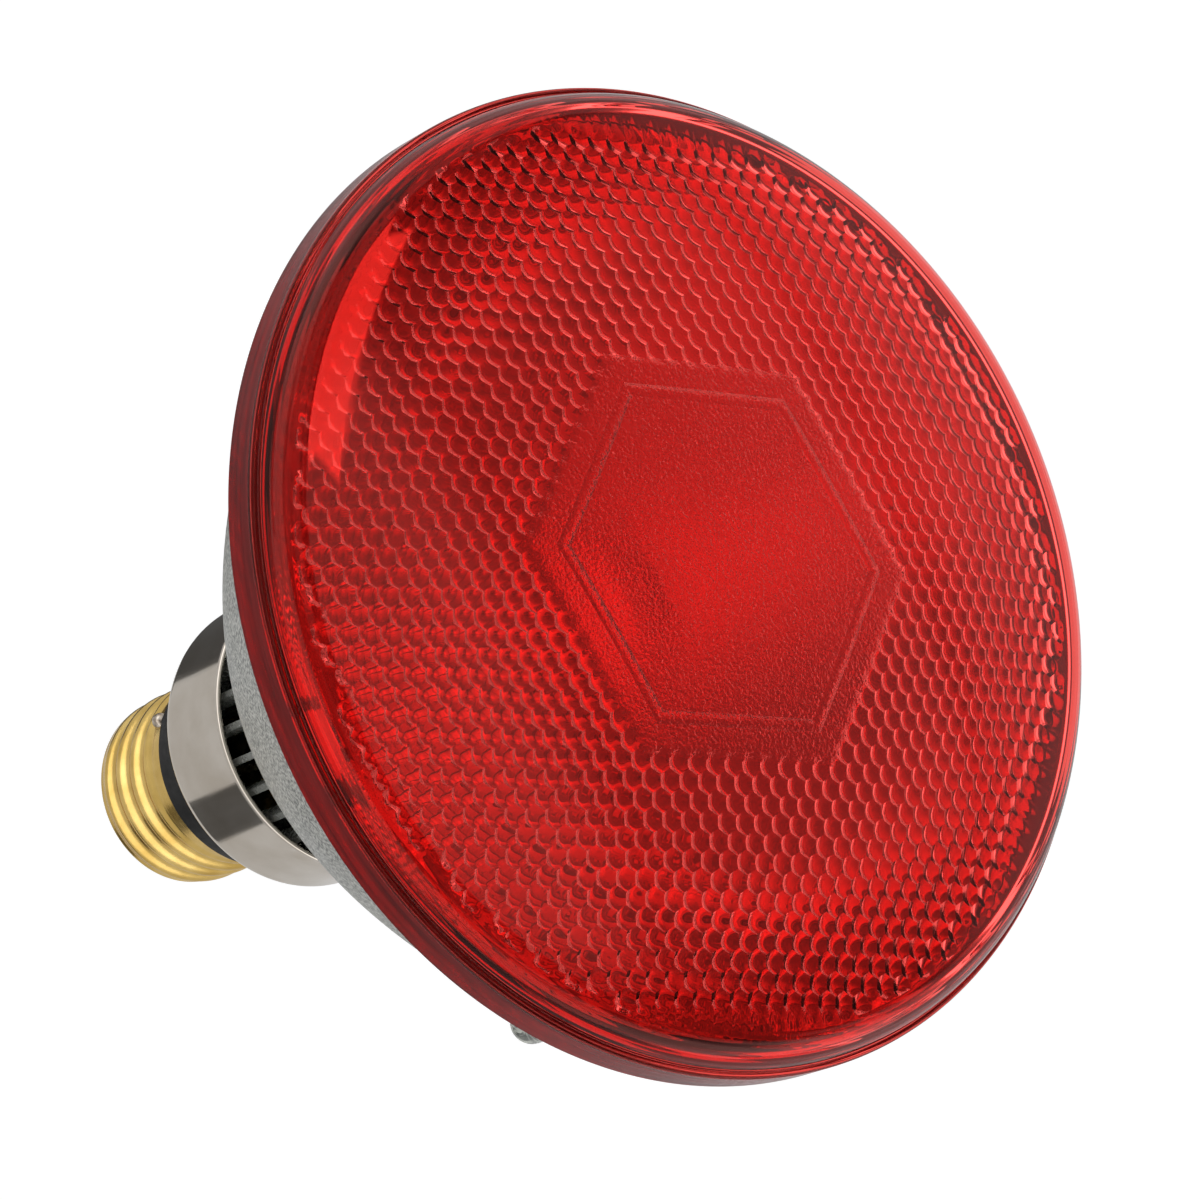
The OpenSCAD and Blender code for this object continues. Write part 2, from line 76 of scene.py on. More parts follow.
def grain(tree, size_mm, stretch=(1.0, 1.0, 1.0), detail=3.0):
    place = put(tree, "ShaderNodeTexCoord").outputs["Object"]
    mapped = put(tree, "ShaderNodeMapping", {"Vector": place, "Scale": stretch}).outputs["Vector"]
    return put(tree, "ShaderNodeTexNoise",
               {"Vector": mapped, "Scale": 1000.0 / size_mm, "Detail": detail}).outputs["Fac"]


def between(tree, amount, low, high, start=0.3, end=0.7):
    return put(tree, "ShaderNodeMapRange",
               {"Value": amount, "From Min": start, "From Max": end, "To Min": low,
                "To Max": high}).outputs["Result"]


def blend_colour(tree, amount, low, high, start=0.3, end=0.7):
    ramp = put(tree, "ShaderNodeValToRGB", {"Fac": amount})
    ramp.color_ramp.elements[0].position = start
    ramp.color_ramp.elements[0].color = (*low, 1.0)
    ramp.color_ramp.elements[1].position = end
    ramp.color_ramp.elements[1].color = (*high, 1.0)
    return ramp.outputs["Color"]


def relief(tree, height, depth_mm, strength=1.0):
    return put(tree, "ShaderNodeBump",
               {"Height": height, "Distance": depth_mm * MM, "Strength": strength}).outputs["Normal"]


def dress(node, finish):
    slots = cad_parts[node].data.materials
    if not len(slots):
        slots.append(finish)
    for i in range(len(slots)):
        slots[i] = finish


brass, tree, shader = new_finish("rolled_brass")
tarnish = grain(tree, 5.0)
rolling = grain(tree, 0.5, (1.0, 1.0, 12.0))
set_shader(tree, shader, {
    "Base Color": blend_colour(tree, tarnish, (0.56, 0.36, 0.09), (0.80, 0.57, 0.20)),
    "Metallic": 1.0,
    "Roughness": between(tree, rolling, 0.14, 0.26),
    "Normal": relief(tree, rolling, 0.006)})
dress("centre_contact", brass)

solder, tree, shader = new_finish("tin_solder")
set_shader(tree, shader, {
    "Base Color": blend_colour(tree, grain(tree, 0.8), (0.26, 0.20, 0.15), (0.66, 0.60, 0.52)),
    "Metallic": 1.0,
    "Roughness": between(tree, grain(tree, 0.5), 0.20, 0.38),
    "Normal": relief(tree, grain(tree, 0.6), 0.03)})
dress("contact_solder", solder)
dress("side_solder", solder)


# Glass end of the base: black insulating glass, melted and pressed into the lower end of the
# brass shell round the contact.

black_glass, tree, shader = new_finish("black_base_glass")
set_shader(tree, shader, {
    "Base Color": blend_colour(tree, grain(tree, 2.5), (0.008, 0.006, 0.010), (0.022, 0.016, 0.028)),
    "Roughness": between(tree, grain(tree, 1.2), 0.10, 0.28),
    "Normal": relief(tree, grain(tree, 0.9), 0.02)})
dress("base_insulator", black_glass)


# Screw shell: thin brass sheet, rolled into a knuckle thread with a plain band above it and
# turned in at the lower end. It is crimped over the black ring's spigot.

def field(tree, value_type, name, value):
    socket = tree.interface.new_socket(name=name, in_out="INPUT", socket_type=value_type)
    socket.default_value = value
    return socket


def new_tree(name, values):
    tree = bpy.data.node_groups.new(name, "GeometryNodeTree")
    tree.interface.new_socket(name="Geometry", in_out="INPUT", socket_type="NodeSocketGeometry")
    tree.interface.new_socket(name="Geometry", in_out="OUTPUT", socket_type="NodeSocketGeometry")
    for key, value in values.items():
        kind = "NodeSocketInt" if isinstance(value, int) else "NodeSocketFloat"
        field(tree, kind, key, value)
    entry = tree.nodes.new("NodeGroupInput")
    leave = tree.nodes.new("NodeGroupOutput")
    return tree, entry.outputs, leave.inputs


def sum_up(tree, operation, *values, clamp=False):
    made = put(tree, "ShaderNodeMath", operation=operation, use_clamp=clamp)
    for i, value in enumerate(values):
        if isinstance(value, bpy.types.NodeSocket):
            tree.links.new(value, made.inputs[i])
        else:
            made.inputs[i].default_value = value
    return made.outputs[0]


def grown(name, tree, values, start=None):
    mesh = start or bpy.data.meshes.new(name + "_start")
    seed = bpy.data.objects.new(name + "_start", mesh)
    bpy.context.scene.collection.objects.link(seed)
    modifier = seed.modifiers.new("grow", "NODES")
    modifier.node_group = tree
    for item in tree.interface.items_tree:
        if item.item_type == "SOCKET" and item.in_out == "INPUT" and item.name in values:
            modifier[item.identifier] = values[item.name]
    shown = seed.evaluated_get(bpy.context.evaluated_depsgraph_get())
    made = bpy.data.meshes.new_from_object(shown)
    made.name = name
    bpy.data.objects.remove(seed)
    return made


def piece(name, mesh, *nodes, slot=None):
    made = bpy.data.objects.new(name, mesh)
    bpy.context.scene.collection.objects.link(made)
    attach(made, "root")
    if nodes:
        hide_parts(*nodes)
    return made


shell_sizes = {"Crest radius": 13.1 * MM, "Thread depth": 0.8 * MM, "Pitch": 3.629 * MM,
               "Top": 24.3 * MM, "Band height": 4.4 * MM, "Bottom": 7.0 * MM,
               "Lip radius": 10.6 * MM, "Lip reach": 2.4 * MM, "Lip rise": 1.1 * MM,
               "Turn": math.radians(-25.0),
               "Around": 193, "Up": 150}
tree, given, result = new_tree("rolled_thread", shell_sizes)
sheet = put(tree, "GeometryNodeMeshGrid", {"Size X": 1.0, "Size Y": 1.0, "Vertices X": given["Around"],
                                           "Vertices Y": given["Up"]}).outputs["Mesh"]
place = put(tree, "ShaderNodeSeparateXYZ",
            {"Vector": put(tree, "GeometryNodeInputPosition").outputs["Position"]}).outputs
angle = sum_up(tree, "MULTIPLY", place["X"], math.tau)
rise = sum_up(tree, "ADD", place["Y"], 0.5)
height = sum_up(tree, "ADD", given["Bottom"],
                sum_up(tree, "MULTIPLY", rise, sum_up(tree, "SUBTRACT", given["Top"], given["Bottom"])))
thread_top = sum_up(tree, "SUBTRACT", given["Top"], given["Band height"])
along = sum_up(tree, "DIVIDE", sum_up(tree, "SUBTRACT", height, thread_top), given["Pitch"])
wave = sum_up(tree, "COSINE", sum_up(tree, "SUBTRACT", sum_up(tree, "SUBTRACT", angle, given["Turn"]),
                                     sum_up(tree, "MULTIPLY", along, math.tau)))
room = sum_up(tree, "MULTIPLY", given["Pitch"], 0.5)
low_end = sum_up(tree, "DIVIDE", sum_up(tree, "SUBTRACT", height,
                                        sum_up(tree, "ADD", given["Bottom"], given["Lip rise"])), room,
                 clamp=True)
high_end = sum_up(tree, "DIVIDE", sum_up(tree, "SUBTRACT", sum_up(tree, "ADD", thread_top, room), height),
                  room, clamp=True)
swell = sum_up(tree, "MULTIPLY", sum_up(tree, "MINIMUM", low_end, high_end),
               sum_up(tree, "MULTIPLY", given["Thread depth"], 0.5))
band_radius = sum_up(tree, "SUBTRACT", given["Crest radius"],
                     sum_up(tree, "MULTIPLY", given["Thread depth"], 0.5))
rolled = sum_up(tree, "ADD", band_radius, sum_up(tree, "MULTIPLY", swell, wave))
turned_in = sum_up(tree, "ADD", given["Lip radius"], sum_up(
    tree, "MULTIPLY", given["Lip reach"], sum_up(tree, "SQRT", sum_up(
        tree, "DIVIDE", sum_up(tree, "SUBTRACT", height, given["Bottom"]), given["Lip rise"]))))
radius = sum_up(tree, "MINIMUM", rolled, turned_in)
wall = put(tree, "ShaderNodeCombineXYZ", {
    "X": sum_up(tree, "MULTIPLY", radius, sum_up(tree, "COSINE", angle)),
    "Y": sum_up(tree, "MULTIPLY", radius, sum_up(tree, "SINE", angle)), "Z": height}).outputs["Vector"]
bent = put(tree, "GeometryNodeSetPosition", {"Geometry": sheet, "Position": wall}).outputs["Geometry"]
closed = put(tree, "GeometryNodeMergeByDistance",
             {"Geometry": bent, "Distance": 0.001 * MM}).outputs["Geometry"]
smooth = put(tree, "GeometryNodeSetShadeSmooth", {"Geometry": closed}).outputs["Geometry"]
real = put(tree, "GeometryNodeRealizeInstances", {"Geometry": smooth}).outputs["Geometry"]
made = put(tree, "GeometryNodeSetMaterial", {"Geometry": real, "Material": brass}).outputs["Geometry"]
tree.links.new(made, result["Geometry"])


def face_outwards(mesh):
    work = bmesh.new()
    work.from_mesh(mesh)
    bmesh.ops.recalc_face_normals(work, faces=work.faces)
    if work.calc_volume(signed=True) < 0:
        bmesh.ops.reverse_faces(work, faces=work.faces)
    work.to_mesh(mesh)
    work.free()


def give_wall(mesh, thickness_mm):
    work = bmesh.new()
    work.from_mesh(mesh)
    middle = sum((f.normal.dot(Vector((f.calc_center_median().x, f.calc_center_median().y, 0.0)))
                  for f in work.faces))
    if middle < 0:
        bmesh.ops.reverse_faces(work, faces=work.faces)
    work.normal_update()
    outer = list(work.verts)
    rims = [e for e in work.edges if e.is_boundary]
    normals = {v: v.normal.copy() for v in outer}
    inner = {v: work.verts.new(v.co - normals[v] * thickness_mm * MM) for v in outer}
    faces = list(work.faces)
    for f in faces:
        g = work.faces.new([inner[v] for v in reversed(f.verts)])
        g.smooth = True
        g.material_index = f.material_index
    for e in rims:
        loop = e.link_loops[0]
        a, b = loop.vert, loop.link_loop_next.vert
        g = work.faces.new([b, a, inner[a], inner[b]])
        g.material_index = e.link_faces[0].material_index
    work.to_mesh(mesh)
    work.free()


shell_mesh = grown("brass_screw_shell", tree, shell_sizes)
give_wall(shell_mesh, 0.3)
piece("brass_screw_shell", shell_mesh, "screw_shell", slot="shell_brass")


# Wires of the base: nickel wires from the feet of the two posts, one down to the contact and one
# out through the slot in the black ring, where it is soldered to the edge of the shell.

nickel_wire, tree, shader = new_finish("nickel_wire")
drawing = grain(tree, 0.3, (1.0, 1.0, 0.1))
set_shader(tree, shader, {
    "Base Color": blend_colour(tree, drawing, (0.42, 0.41, 0.39), (0.60, 0.59, 0.56)),
    "Metallic": 1.0,
    "Roughness": between(tree, drawing, 0.22, 0.4)})
dress("contact_lead", nickel_wire)
dress("shell_lead", nickel_wire)


# Insulating ring: black phenolic moulding that keeps the brass shell apart from the skirt. Its
# spigot sits in the shell, and its collar holds the skirt's end wall.

phenolic, tree, shader = new_finish("black_phenolic")
set_shader(tree, shader, {
    "Base Color": blend_colour(tree, grain(tree, 1.5), (0.006, 0.006, 0.006), (0.016, 0.015, 0.015)),
    "IOR": 1.28,
    "Roughness": between(tree, grain(tree, 0.8), 0.32, 0.5),
    "Normal": relief(tree, grain(tree, 0.4), 0.01)})
dress("insulating_ring", phenolic)


# Skirt: a cup drawn from thin sheet and plated with bright nickel. Its end wall sits on the black
# ring, its mouth is rolled outwards, and three dimples are punched in between the neck's ribs.

def arc_points(cx, cy, r, start, end, steps):
    return [(cx + r * math.cos(math.radians(start + (end - start) * i / steps)),
             cy + r * math.sin(math.radians(start + (end - start) * i / steps))) for i in range(steps + 1)]


def line_points(a, b, steps):
    return [(a[0] + (b[0] - a[0]) * i / steps, a[1] + (b[1] - a[1]) * i / steps) for i in range(steps + 1)]


def turned(name, outline, around, move=None, closed=True):
    work = bmesh.new()
    rings = []
    for r, z in outline:
        if r < 1e-6:
            rings.append([work.verts.new((0.0, 0.0, z * MM))])
            continue
        ring = []
        for k in range(around):
            a = math.tau * k / around
            rr, zz = move(r, z, a) if move else (r, z)
            ring.append(work.verts.new((rr * MM * math.cos(a), rr * MM * math.sin(a), zz * MM)))
        rings.append(ring)
    pairs = list(zip(rings, rings[1:]))
    if closed:
        pairs.append((rings[-1], rings[0]))
    for low, high in pairs:
        if len(low) == 1 and len(high) == 1:
            continue
        for k in range(around):
            n = (k + 1) % around
            if len(low) == 1:
                f = work.faces.new((low[0], high[n], high[k]))
            elif len(high) == 1:
                f = work.faces.new((low[k], low[n], high[0]))
            else:
                f = work.faces.new((low[k], low[n], high[n], high[k]))
            f.smooth = True
    mesh = bpy.data.meshes.new(name)
    work.to_mesh(mesh)
    work.free()
    if closed:
        face_outwards(mesh)
    return mesh


def sharpen(mesh, degrees):
    work = bmesh.new()
    work.from_mesh(mesh)
    for e in work.edges:
        if len(e.link_faces) == 2:
            e.smooth = e.calc_face_angle(0.0) < math.radians(degrees)
    work.to_mesh(mesh)
    work.free()


skirt_foot, skirt_mouth = 33.1, 51.3
skirt_section = (
    line_points((14.35, skirt_foot), (18.71, skirt_foot + 2.715), 6)[:-1]
    + arc_points(17.3, skirt_foot + 4.4, 2.2, -50, 0, 12)
    + line_points((19.5, skirt_foot + 4.4), (19.5, skirt_mouth - 1.8), 40)[1:-1]
    + arc_points(20.2, skirt_mouth - 1.8, 0.7, 180, 100, 10)
    + arc_points(20.06, skirt_mouth - 0.62, 0.5, -80, 90, 8))
dimple_angles = [math.radians(66.8 + 120.0 * i) for i in range(3)]


def punched(r, z, a):
    if r < 19.0:
        return r, z
    for at in dimple_angles:
        across = 19.5 * math.remainder(a - at, math.tau)
        away = math.hypot(across, z - (skirt_mouth - 3.0)) / 1.5
        if away < 1.0:
            r -= 0.55 * math.cos(away * math.pi / 2) ** 1.3
    return r, z


skirt_mesh = turned("nickel_skirt", skirt_section, 288, punched, closed=False)
give_wall(skirt_mesh, 0.35)
nickel, tree, shader = new_finish("bright_nickel_plate")
draw_lines = grain(tree, 0.6, (1.0, 1.0, 0.06))
set_shader(tree, shader, {
    "Base Color": blend_colour(tree, grain(tree, 5.0), (0.49, 0.435, 0.37), (0.58, 0.53, 0.47)),
    "Metallic": 1.0,
    "Roughness": between(tree, draw_lines, 0.07, 0.15),
    "Normal": relief(tree, draw_lines, 0.004)})
skirt_mesh.materials.append(nickel)
piece("nickel_skirt", skirt_mesh, "skirt", slot="nickel_plate")


# Ferrules, brazes and exhaust tube: metal thimbles sealed to the glass under the bowl, closed by a
# drop of braze round each post, and the glass tip through which the lamp was filled.

ferrule_metal, tree, shader = new_finish("ferrule_alloy")
set_shader(tree, shader, {
    "Base Color": blend_colour(tree, grain(tree, 2.0), (0.36, 0.34, 0.31), (0.55, 0.53, 0.49)),
    "Metallic": 1.0,
    "Roughness": between(tree, grain(tree, 0.7), 0.28, 0.48)})
dress("ferrule_a", ferrule_metal)
dress("ferrule_b", ferrule_metal)

braze, tree, shader = new_finish("copper_braze")
set_shader(tree, shader, {
    "Base Color": blend_colour(tree, grain(tree, 0.8), (0.48, 0.24, 0.10), (0.74, 0.45, 0.20)),
    "Metallic": 1.0,
    "Roughness": between(tree, grain(tree, 0.5), 0.25, 0.45)})
dress("braze_a", braze)
dress("braze_b", braze)

clear_glass, tree, shader = new_finish("clear_pressed_glass")
set_shader(tree, shader, {
    "Base Color": (0.93, 0.95, 0.92, 1.0),
    "Transmission Weight": 1.0,
    "IOR": 1.47,
    "Roughness": between(tree, grain(tree, 4.0), 0.02, 0.08),
    "Normal": relief(tree, grain(tree, 3.0), 0.05)})
dress("exhaust_tube", clear_glass)


# Posts and filament: stiff nickel rods hold a coil of tungsten wire across the focus of the bowl.
# The coil's tails are clamped to the tips of the posts.

post_metal, tree, shader = new_finish("post_nickel")
set_shader(tree, shader, {
    "Base Color": blend_colour(tree, grain(tree, 1.0, (1.0, 1.0, 0.1)),
                               (0.40, 0.39, 0.38), (0.58, 0.57, 0.55)),
    "Metallic": 1.0,
    "Roughness": between(tree, grain(tree, 0.6), 0.2, 0.35)})
dress("lead_post_a", post_metal)
dress("lead_post_b", post_metal)

tungsten, tree, shader = new_finish("tungsten_coil")
set_shader(tree, shader, {
    "Base Color": blend_colour(tree, grain(tree, 0.3), (0.16, 0.16, 0.17), (0.28, 0.28, 0.30)),
    "Metallic": 1.0,
    "Roughness": between(tree, grain(tree, 0.3), 0.3, 0.5)})
dress("filament", tungsten)


# Reflector: a bowl of pressed hard glass, aluminised inside, so that it looks satin silver from
# outside. Its ribbed neck, its rim flange and three small lugs behind the rim stay clear.

neck_foot, seam = 37.7, 119.9
outer_focus, inner_focus = 13.01, 12.775
rim_glass_r, mirror_r, flange_r = 58.2, 56.15, 60.35
bowl_bottom = seam - 0.78 - rim_glass_r ** 2 / (4 * outer_focus)
mirror_bottom = seam - mirror_r ** 2 / (4 * inner_focus)
neck_top = bowl_bottom + 16.6 ** 2 / (4 * outer_focus)
coat_top_r, coat_low_r = 57.6, 18.6


def bowl_outside(r):
    return (r, bowl_bottom + r * r / (4 * outer_focus))


def bowl_inside(r):
    return (r, mirror_bottom + r * r / (4 * inner_focus))


reflector_section = (
    [(0.0, mirror_bottom - 4.2), (7.0, mirror_bottom - 4.2), (13.6, mirror_bottom - 4.2),
     (14.2, mirror_bottom - 4.8)]
    + line_points((14.2, mirror_bottom - 5.4), (14.2, neck_foot + 0.6), 10)
    + arc_points(14.8, neck_foot + 0.6, 0.6, 180, 270, 4)[1:]
    + arc_points(16.0, neck_foot + 0.6, 0.6, -90, 0, 4)
    + line_points((16.6, neck_foot + 1.6), (16.6, neck_top - 1.4), 12)
    + [bowl_outside(16.9 + (rim_glass_r - 16.9) * (i / 70) ** 0.9) for i in range(71)]
    + [(rim_glass_r + 0.4, seam - 0.74), (flange_r - 0.6, seam - 0.52), (flange_r - 0.1, seam - 0.38),
       (flange_r, seam - 0.28), (flange_r - 0.05, seam - 0.06), (flange_r - 0.2, seam - 0.02),
       (mirror_r + 0.1, seam - 0.02)]
    + [bowl_inside(mirror_r * (1 - i / 80)) for i in range(80)]
    + [(0.0, mirror_bottom)])
reflector_mesh = turned("silvered_reflector", reflector_section, 240, closed=False)
face_outwards(reflector_mesh)

rib_sizes = {"Ribs": 27, "Width": 0.9 * MM, "Foot": 38.35 * MM, "Head": 60.6 * MM,
             "Inner radius": 16.2 * MM, "Outer radius": 18.95 * MM,
             "Turn": math.radians(66.8 + 360.0 / 54)}
tree, given, result = new_tree("neck_ribs", rib_sizes)
ring = put(tree, "GeometryNodeMeshCircle",
           {"Vertices": given["Ribs"], "Radius": given["Inner radius"]}).outputs["Mesh"]
spots = put(tree, "GeometryNodeMeshToPoints", {"Mesh": ring}).outputs["Points"]
bar = put(tree, "GeometryNodeMeshCube", {"Size": put(tree, "ShaderNodeCombineXYZ", {
    "X": sum_up(tree, "SUBTRACT", given["Outer radius"], given["Inner radius"]), "Y": given["Width"],
    "Z": sum_up(tree, "SUBTRACT", given["Head"], given["Foot"])}).outputs["Vector"],
    "Vertices X": 3, "Vertices Y": 3, "Vertices Z": 24}).outputs["Mesh"]
half_up = sum_up(tree, "MULTIPLY", sum_up(tree, "ADD", given["Head"], given["Foot"]), 0.5)
half_out = sum_up(tree, "MULTIPLY",
                  sum_up(tree, "SUBTRACT", given["Outer radius"], given["Inner radius"]), 0.5)
bar = put(tree, "GeometryNodeTransform", {"Geometry": bar, "Translation": put(
    tree, "ShaderNodeCombineXYZ", {"X": half_out, "Z": half_up}).outputs["Vector"]}).outputs["Geometry"]
order = put(tree, "GeometryNodeInputIndex").outputs["Index"]
swing = sum_up(tree, "DIVIDE", sum_up(tree, "MULTIPLY", order, math.tau), given["Ribs"])
rib_ring = put(tree, "GeometryNodeInstanceOnPoints", {
    "Points": spots, "Instance": bar,
    "Rotation": put(tree, "ShaderNodeCombineXYZ", {"Z": swing}).outputs["Vector"]}).outputs["Instances"]
placed = put(tree, "GeometryNodeTransform", {"Geometry": rib_ring, "Rotation": put(
    tree, "ShaderNodeCombineXYZ", {"Z": given["Turn"]}).outputs["Vector"]}).outputs["Geometry"]
real = put(tree, "GeometryNodeRealizeInstances", {"Geometry": placed}).outputs["Geometry"]
made = put(tree, "GeometryNodeSetMaterial", {"Geometry": real, "Material": clear_glass}).outputs["Geometry"]
tree.links.new(made, result["Geometry"])
rib_mesh = grown("neck_ribs", tree, rib_sizes)

lug_out, lug_high, lug_top, lug_r = 53.66, 107.8, 115.4, 2.6
lug_section = (arc_points(0.0, lug_high, lug_r, -90, 0, 10)
               + line_points((lug_r, lug_high), (lug_r, lug_top), 8)[1:] + [(0.0, lug_top)])
lug_mesh = turned("rim_lug", lug_section, 36, closed=False)
for v in lug_mesh.vertices:
    x, y = v.co.x / MM + lug_out, v.co.y / MM
    least = math.sqrt(4 * inner_focus * (v.co.z / MM - mirror_bottom)) + 0.9
    push = max(1.0, least / math.hypot(x, y))
    v.co.x, v.co.y = x * push * MM, y * push * MM

silver_back, tree, shader = new_finish("aluminised_glass_back")
speck = grain(tree, 0.42, detail=1.0)
blotch = grain(tree, 14.0)
set_shader(tree, shader, {
    "Base Color": blend_colour(tree, speck, (0.10, 0.105, 0.095), (0.56, 0.56, 0.52), 0.42, 0.58),
    "Metallic": 0.85,
    "Roughness": between(tree, blotch, 0.34, 0.46),
    "Normal": relief(tree, speck, 0.09)})

mirror, tree, shader = new_finish("aluminium_mirror")
set_shader(tree, shader, {
    "Base Color": blend_colour(tree, grain(tree, 9.0, detail=0.0),
                               (0.895, 0.895, 0.885), (0.905, 0.905, 0.895)),
    "Metallic": 1.0,
    "Roughness": 0.0})

# The neck's ribs are clear pressed glass. Their grey, partly diffuse base is painted glints, standing in for
# light refracted through them.
rib_glass_painted_glints, tree, shader = new_finish("rib_glass_with_painted_glints")
set_shader(tree, shader, {
    "Base Color": (0.50, 0.51, 0.47, 1.0),
    "Transmission Weight": 0.6,
    "IOR": 1.47,
    "Roughness": between(tree, grain(tree, 0.7), 0.18, 0.34)})

work = bmesh.new()
work.from_mesh(reflector_mesh)
for f in work.faces:
    c = f.calc_center_median() / MM
    r = math.hypot(c.x, c.y)
    inside = c.z > mirror_bottom + r * r / (4 * inner_focus) - 0.35 and r < mirror_r + 0.05
    if inside:
        f.material_index = 1
    elif coat_low_r < r < coat_top_r and c.z > neck_top:
        f.material_index = 0
    else:
        f.material_index = 2
for extra, turn in [(rib_mesh, None)] + [(lug_mesh, math.radians(72.0 + 120.0 * i)) for i in range(3)]:
    first = len(work.verts)
    first_face = len(work.faces)
    work.from_mesh(extra)
    work.verts.ensure_lookup_table()
    work.faces.ensure_lookup_table()
    new_verts = work.verts[first:]
    if turn is not None:
        bmesh.ops.rotate(work, verts=new_verts, cent=(0, 0, 0), matrix=Matrix.Rotation(turn, 3, "Z"))
    for f in work.faces[first_face:]:
        f.material_index = 3 if turn is None else 2
reflector_mesh.materials.clear()
for finish in (silver_back, mirror, clear_glass, rib_glass_painted_glints):
    reflector_mesh.materials.append(finish)
work.to_mesh(reflector_mesh)
work.free()
sharpen(reflector_mesh, 40)
piece("silvered_reflector", reflector_mesh, "reflector", slot="silvered_glass")


# Lens: pressed glass, red all through, fused to the reflector's flange. Its inner face is a
# honeycomb of small domes round a stippled hexagonal panel, which is framed by a thin raised line.

apex, lens_wall, dome_edge = 135.0, 4.0, 55.6
face_ball = (54.25 ** 2 + 5.1 ** 2) / (2 * 5.1)
crease_z = 125.3


def outer_face(r):
    return apex - face_ball + math.sqrt(face_ball ** 2 - r * r)


def inner_face(r):
    return outer_face(r) - lens_wall


def hexagon_reach(tree, place):
    reach = None
    for degrees in (30, 90, 150):
        a = math.radians(degrees)
        one = sum_up(tree, "ABSOLUTE", sum_up(
            tree, "ADD", sum_up(tree, "MULTIPLY", place["X"], math.cos(a)),
            sum_up(tree, "MULTIPLY", place["Y"], math.sin(a))))
        reach = one if reach is None else sum_up(tree, "MAXIMUM", reach, one)
    return reach


red_glass, tree, shader = new_finish("pressed_red_glass")
set_shader(tree, shader, {
    "Base Color": blend_colour(tree, grain(tree, 12.0, detail=0.0),
                               (0.94, 0.079, 0.069), (0.96, 0.081, 0.071)),
    "Specular Tint": (1.0, 0.28, 0.24, 1.0),
    "Transmission Weight": 1.0,
    "IOR": 1.47,
    "Roughness": 0.0})

# The stippled finish also rounds the panel's raised line
line_reach, line_round = 19.66 * MM, 0.80 * MM
stippled_glass, tree, shader = new_finish("stippled_red_glass")
place = put(tree, "ShaderNodeSeparateXYZ",
            {"Vector": put(tree, "ShaderNodeTexCoord").outputs["Object"]}).outputs
off_line = sum_up(tree, "SUBTRACT", hexagon_reach(tree, place), line_reach)
round_top = sum_up(tree, "SUBTRACT", 1.0, sum_up(
    tree, "POWER", sum_up(tree, "DIVIDE", off_line, line_round), 2.0), clamp=True)
stipple = grain(tree, 0.42, detail=1.0)
set_shader(tree, shader, {
    "Base Color": (0.95, 0.08, 0.07, 1.0),
    "Specular Tint": (1.0, 0.28, 0.24, 1.0),
    "Transmission Weight": 1.0,
    "IOR": 1.47,
    "Roughness": between(tree, grain(tree, 2.0), 0.20, 0.32),
    "Normal": relief(tree, sum_up(tree, "ADD", sum_up(tree, "MULTIPLY", round_top, 0.42), sum_up(
        tree, "MULTIPLY", stipple, 0.24)), 1.0)})

# The side wall is the lens's own red glass, dark only where it lies in shade. Its dark base colour is painted
# shade; its drawn streaks and roughness are its ground finish.
side_glass_painted_shade, tree, shader = new_finish("ground_red_glass_painted_shade")
drag = grain(tree, 1.1, (0.06, 0.06, 1.0))
set_shader(tree, shader, {
    "Base Color": blend_colour(tree, drag, (0.09, 0.008, 0.008), (0.26, 0.014, 0.013)),
    "Specular Tint": (1.0, 0.22, 0.20, 1.0),
    "Transmission Weight": 0.2,
    "IOR": 1.2,
    "Roughness": between(tree, grain(tree, 0.8), 0.16, 0.26),
    "Normal": relief(tree, drag, 0.05)})

cell_pitch, cell_rise, cell_sink = 2.6, 0.55, 0.12
cell_corner = cell_pitch / math.sqrt(3)
cell_ball = (cell_corner ** 2 + cell_rise ** 2) / (2 * cell_rise)


def cell_tile():
    work = bmesh.new()
    steps = 3
    spots = {}
    turns = [math.radians(60 * k + 30) for k in range(6)]
    corners = [Vector((math.cos(a), math.sin(a))) * cell_corner for a in turns]

    def spot(k, i, j):
        p = corners[k] * (i / steps) + corners[(k + 1) % 6] * (j / steps)
        key = (round(p.x, 5), round(p.y, 5))
        if key not in spots:
            spots[key] = work.verts.new((p.x * MM, p.y * MM, 0.0))
        return spots[key]

    for k in range(6):
        for i in range(steps):
            for j in range(steps - i):
                work.faces.new((spot(k, i, j), spot(k, i + 1, j), spot(k, i, j + 1)))
                if i + j < steps - 1:
                    work.faces.new((spot(k, i + 1, j), spot(k, i + 1, j + 1), spot(k, i, j + 1)))
    mesh = bpy.data.meshes.new("cell_tile")
    work.to_mesh(mesh)
    work.free()
    return mesh


tile = bpy.data.objects.new("cell_tile", cell_tile())
bpy.context.scene.collection.objects.link(tile)
honeycomb_sizes = {
    "Pitch": cell_pitch * MM, "Rows": 47, "Cell ball": cell_ball * MM, "Cell corner": cell_corner * MM,
    "Sink": cell_sink * MM, "Field radius": 55.0 * MM, "Panel reach": 23.4 * MM,
    "Face ball": face_ball * MM, "Inner apex": (apex - lens_wall) * MM, "Edge radius": dome_edge * MM,
    "Line reach": line_reach, "Line width": 0.9 * MM, "Line height": 0.12 * MM}
tree, given, result = new_tree("honeycomb", honeycomb_sizes)


def part_of(vector):
    return put(tree, "ShaderNodeSeparateXYZ", {"Vector": vector}).outputs


def here():
    return part_of(put(tree, "GeometryNodeInputPosition").outputs["Position"])


def from_axis():
    return put(tree, "ShaderNodeVectorMath", {0: put(tree, "GeometryNodeInputPosition").outputs["Position"]},
               operation="LENGTH").outputs["Value"]


def named(attribute):
    return put(tree, "GeometryNodeInputNamedAttribute", {"Name": attribute},
               data_type="FLOAT").outputs["Attribute"]


